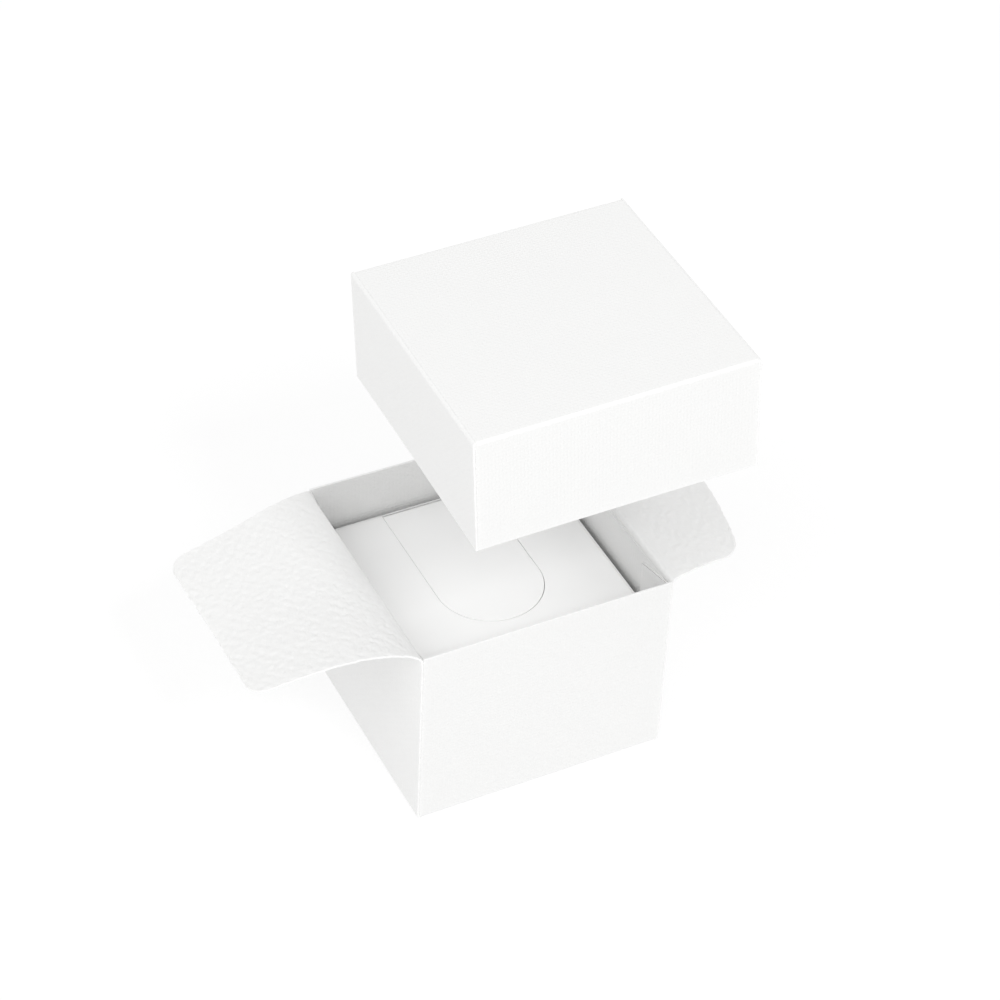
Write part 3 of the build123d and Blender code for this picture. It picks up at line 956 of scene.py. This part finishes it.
# ---- The insert card ----------------------------------------------------------------------------
@dataclass(frozen=True)
class Insert:
    """The raised card that the jewelry rests on, with a tongue cut in it and four folded legs."""

    width: float = 47.2 * MM
    depth: float = 47.6 * MM
    shift: float = -0.3 * MM
    top: float = 30.0 * MM
    leg_span: float = 40.0 * MM
    notch: float = 0.05 * MM
    radius: float = 10.25 * MM
    centre: float = -1.6 * MM
    slit: float = 0.08 * MM
    hinge: float = 22.9 * MM
    tongue_lift: float = 0.16 * MM
    tongue_shift: tuple[float, float] = (-0.03 * MM, -0.02 * MM)
    sag: float = 0.18 * MM
    grid: float = 0.8 * MM
    tongue_grid: float = 0.6 * MM
    rows_reach: float = 12.0 * MM
    side_points: int = 34
    corner_points: int = 22
    front_points: int = 50
    tip_points: int = 16

    def place(self) -> np.ndarray:
        """Where the insert stands in the base."""
        return shifted(self.shift, self.shift, self.top - CARD / 2)

    def warp(self, x: np.ndarray, y: np.ndarray) -> np.ndarray:
        """The card's slight sag: sag * (cos(pi * x / width) * cos(pi * y / depth)) ** 2, downwards.

        Args:
            x: position across the card, from its middle.
            y: position along the card, from its middle.

        Returns:
            The height of each point.
        """
        across, along = np.cos(math.pi * x / self.width), np.cos(math.pi * y / self.depth)
        return -self.sag * (across * along) ** 2

    def platform(self) -> CardSheet:
        """The platform round the tongue's slit, rows from the slit out, columns round the U.

        Each column runs straight from the slit's outline to the card's border. Beside the
        tongue's straight sides it runs sideways, and round its end it follows a ray from the
        centre.
        """
        half_x, half_y = self.width / 2 - FOLD, self.depth / 2 - FOLD
        inner = self.radius + self.slit / 2
        down = np.linspace(half_y, self.centre, self.side_points)[:-1]
        corner = math.atan2(half_y + self.centre, half_x)
        pieces = [
            (0, corner, self.corner_points),
            (corner, math.pi - corner, self.front_points),
            (math.pi - corner, math.pi, self.corner_points),
        ]
        angle = np.concatenate([np.linspace(a, b, n)[:-1] for a, b, n in pieces] + [[math.pi]])
        ray = np.stack([-np.cos(angle), -np.sin(angle)], axis=-1)
        reach = np.minimum(half_x / np.maximum(np.abs(ray[:, 0]), 1e-9),
                           (half_y + self.centre) / np.maximum(np.abs(ray[:, 1]), 1e-9))
        middle = np.array([0.0, self.centre])
        left_in = np.stack([np.full_like(down, -inner), down], axis=-1)
        left_out = np.stack([np.full_like(down, -half_x), down], axis=-1)
        right = np.array([-1.0, 1.0])
        slit = np.concatenate([left_in, middle + inner * ray, (left_in * right)[::-1]])
        border = np.concatenate([left_out, middle + reach[:, None] * ray, (left_out * right)[::-1]])
        share = graded_line(0.0, self.rows_reach, self.grid)[:, None, None] / self.rows_reach
        flat = slit[None] + (border - slit)[None] * share
        points = np.dstack([flat, self.warp(flat[..., 0], flat[..., 1])])
        return CardSheet(points, flat, (True, True, True, True))

    def tongue(self) -> CardSheet:
        """The tongue, rows from its root to its round tip and columns from left to right.

        Row by row it is an arc through two points of the outline, whose half opening grows from
        0 at the root to 60 degrees at the tip, where it is the outline itself. It lies a hair to
        the left and the front in its slit, and is lifted in proportion to the square of the
        distance from the root, twice as much on its right as on its left.
        """
        radius = self.radius - self.slit / 2
        root = self.hinge
        straight = graded_line(root, self.centre, self.grid)[:-1]
        side = np.linspace(math.pi / 2, math.pi / 3, self.tip_points)
        end_y = np.concatenate([straight, self.centre - radius * np.cos(side)])
        half = np.concatenate([np.full(len(straight), radius), radius * np.sin(side)])
        opening = math.pi / 3 * np.linspace(1e-4, 1, len(half))[:, None]
        u = graded_line(-radius, radius, self.tongue_grid)[None, :] / radius
        x = half[:, None] * np.sin(u * opening) / np.sin(opening)
        forward = half[:, None] * (np.cos(u * opening) - np.cos(opening)) / np.sin(opening)
        y = end_y[:, None] - forward
        lift = self.tongue_lift * ((root - y) / (root - self.centre + radius)) ** 2
        lift = lift * (0.75 + 0.25 * x / radius)
        points = np.stack([x, y, self.warp(x, y) + lift], axis=-1)
        sheet = CardSheet(points, np.stack([x, y], axis=-1), (True, True, True, True))
        return sheet.moved(shifted(*self.tongue_shift))

    def leg(self, side: float) -> CardSheet:
        """The leg folded down from the front of the platform, as a tray's wall turned over.

        Args:
            side: the distance between this leg's outer face and the opposite one's.

        Returns:
            The leg, with rows from the platform down and columns from -x to +x.
        """
        strip = FoldedStrip.of_length(self.top - CARD - self.notch)
        x = graded_line(self.leg_span / 2, -self.leg_span / 2, GRID_STEP)
        shape = (len(strip.run), len(x))
        grid_x = np.broadcast_to(x, shape)
        grid_y = np.broadcast_to((strip.inward - side / 2)[:, None], shape)
        grid_z = np.broadcast_to(CARD / 2 - strip.height[:, None], shape)
        points = np.stack([grid_x, grid_y, grid_z], axis=-1)
        card = np.stack([grid_x, np.broadcast_to(strip.run[:, None], shape)], axis=-1)
        crease = np.broadcast_to(strip.crease[:, None], shape).copy()
        return CardSheet(points[:, ::-1], card[:, ::-1], (False, True, True, True), crease)

    def build(self, palette: Palette) -> None:
        """Makes and dresses the platform, its legs and the tongue."""
        face, flank = self.leg(self.depth), self.leg(self.width)
        sheets = {
            "insert_platform": self.platform(),
            "insert_front_leg": face,
            "insert_back_leg": face.moved(turned(180)),
            "insert_left_leg": flank.moved(turned(-90)),
            "insert_right_leg": flank.moved(turned(90)),
            "insert_tongue": self.tongue(),
        }
        for node, sheet in sheets.items():
            piece = sheet.moved(self.place()).build(f"{node}_card")
            palette.dress(piece, SMOOTH_CARD, SMOOTH_CARD, RAW_EDGE)
            body = "tongue" if node == "insert_tongue" else "base"
            install(piece, body, "smooth_card", node)


# ---- The lid ------------------------------------------------------------------------------------
@dataclass(frozen=True)
class Lid:
    """The lid: a tray upside down, lifted off the base, shifted and leaning a little."""

    tray: Tray = Tray(side=52 * MM, height=22.5 * MM, side_height=22.5 * MM, bow=0.1 * MM)
    middle: tuple[float, float, float] = (5.04 * MM, -12.53 * MM, 74.93 * MM)
    lean: tuple[float, float, float] = (-2.14, -2.56, -2.19)

    def place(self) -> np.ndarray:
        """From the tray's own frame to the lifted lid: turned over, leaned, then moved."""
        turns = [Matrix.Rotation(math.radians(a), 4, axis) for a, axis in zip(self.lean, "XYZ")]
        lean = np.array(turns[0] @ turns[1] @ turns[2])
        return shifted(*self.middle) @ lean @ shifted(z=self.tray.height) @ mirrored(z=-1)

    def build(self, palette: Palette) -> None:
        """Makes and dresses the lid's panels, and its dried glue."""
        place = self.place()
        for name, sheet in self.tray.sheets().items():
            node = "lid_top" if name == "panel" else f"lid_{name}"
            piece = sheet.moved(place).build(f"{node}_card")
            palette.dress(piece, LID_CARD, INNER_CARD, RAW_EDGE)
            install(piece, "lid", "embossed_card", node)
        palette.dress(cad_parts["lid_glue"], DRIED_GLUE)


# ---- The studio ---------------------------------------------------------------------------------
@dataclass(frozen=True)
class Softbox:
    """A square area light aimed at the box, by its direction as seen from the box."""

    name: str
    azimuth: float
    elevation: float
    distance: float
    size: float
    power: float

    def build(self, aim: Vector) -> None:
        """Hangs the light. Azimuth is in degrees from the front towards the right."""
        turn, rise = math.radians(self.azimuth), math.radians(self.elevation)
        direction = Vector((math.sin(turn) * math.cos(rise), -math.cos(turn) * math.cos(rise),
                            math.sin(rise)))
        data = bpy.data.lights.new(self.name, "AREA")
        data.energy, data.size = self.power, self.size
        light = bpy.data.objects.new(self.name, data)
        light.location = aim + self.distance * direction
        light.rotation_euler = (-direction).to_track_quat("-Z", "Y").to_euler()
        bpy.context.scene.collection.objects.link(light)


@dataclass(frozen=True)
class Studio:
    """A pale floor, soft light and the camera."""

    floor_side: float = 8.0
    floor_colour: tuple[float, float, float] = (0.34, 0.34, 0.34)
    floor_glow: float = 0.67
    fill: float = 0.7
    softboxes: tuple[Softbox, ...] = (
        Softbox("key_softbox", azimuth=5, elevation=47, distance=1.3, size=0.25, power=3.8),
        Softbox("side_softbox", azimuth=-60, elevation=45, distance=1.3, size=0.9, power=4.7),
        Softbox("back_softbox", azimuth=115, elevation=38, distance=1.3, size=0.6, power=1.5),
    )
    camera_place: tuple[float, float, float] = (-0.19201, -0.36220, 0.40181)
    camera_forward: tuple[float, float, float] = (0.357939, 0.667700, -0.652730)
    camera_down: tuple[float, float, float] = (-0.263570, -0.598370, -0.756627)
    lens: float = 108.0
    sensor: float = 36.0

    def lay_floor(self) -> None:
        """The floor: a large square just under the box, pale, with fine grain and a faint glow."""
        half = self.floor_side / 2
        corners = np.array([(-half, -half), (half, -half), (half, half), (-half, half)])
        points = np.column_stack([corners, np.full(4, -0.05 * MM)])
        slots = np.zeros(1, dtype=np.int32)
        mesh = mesh_from_arrays("studio_floor", points, np.arange(4).reshape(1, 4), slots)
        floor = bpy.data.objects.new("studio_floor", mesh)
        bpy.context.scene.collection.objects.link(floor)
        material = bpy.data.materials.new("studio_paper")
        material.use_nodes = True
        wire = Wiring(material.node_tree)
        place = wire.add("ShaderNodeTexCoord").outputs["Object"]
        grain = wire.add("ShaderNodeTexNoise", Vector=place, Scale=300.0, Detail=2.0)
        bump = wire.add("ShaderNodeBump", Strength=0.05, Distance=0.2 * MM,
                        Height=grain.outputs["Fac"])
        shader = wire.add("ShaderNodeBsdfPrincipled", Roughness=0.9, Normal=bump.outputs["Normal"])
        shader.inputs["Base Color"].default_value = (*self.floor_colour, 1)
        shader.inputs["Specular IOR Level"].default_value = 0.0
        shader.inputs["Emission Color"].default_value = (1, 1, 1, 1)
        shader.inputs["Emission Strength"].default_value = self.floor_glow
        wire.add("ShaderNodeOutputMaterial", Surface=shader.outputs["BSDF"])
        mesh.materials.append(material)

    def light(self, aim: Vector) -> None:
        """The even fill from all round, and the softboxes."""
        world = bpy.data.worlds.new("studio_fill")
        world.use_nodes = True
        wire = Wiring(world.node_tree)
        glow = wire.add("ShaderNodeBackground", Color=(1, 1, 1, 1), Strength=self.fill)
        wire.add("ShaderNodeOutputWorld", Surface=glow.outputs["Background"])
        bpy.context.scene.world = world
        for softbox in self.softboxes:
            softbox.build(aim)

    def set_camera(self) -> None:
        """The camera, by its place, its line of sight and the direction down its picture."""
        forward, down = Vector(self.camera_forward), Vector(self.camera_down)
        right = down.cross(forward)
        data = bpy.data.cameras.new("camera")
        data.lens, data.sensor_width = self.lens, self.sensor
        data.clip_start, data.clip_end = 0.01, 20.0
        camera = bpy.data.objects.new("camera", data)
        axes = Matrix((right, -down, -forward)).transposed().to_4x4()
        camera.matrix_world = Matrix.Translation(Vector(self.camera_place)) @ axes
        bpy.context.scene.collection.objects.link(camera)
        bpy.context.scene.camera = camera

    def build(self, aim: Vector) -> None:
        """Sets up the whole studio."""
        self.lay_floor()
        self.light(aim)
        self.set_camera()
        bpy.context.scene.view_settings.view_transform = "Standard"
        bpy.context.scene.view_settings.look = "None"


def main() -> None:
    """Builds the box and its studio."""
    logging.basicConfig(level=logging.INFO, format="%(name)s %(message)s")
    palette = Palette()
    Base().build(palette)
    LONG_FLAP.build(palette)
    SHORT_FLAP.build(palette)
    Insert().build(palette)
    Lid().build(palette)
    Studio().build((CAD_BOX[0] + CAD_BOX[1]) / 2)


if __name__ == "__main__":
    main()
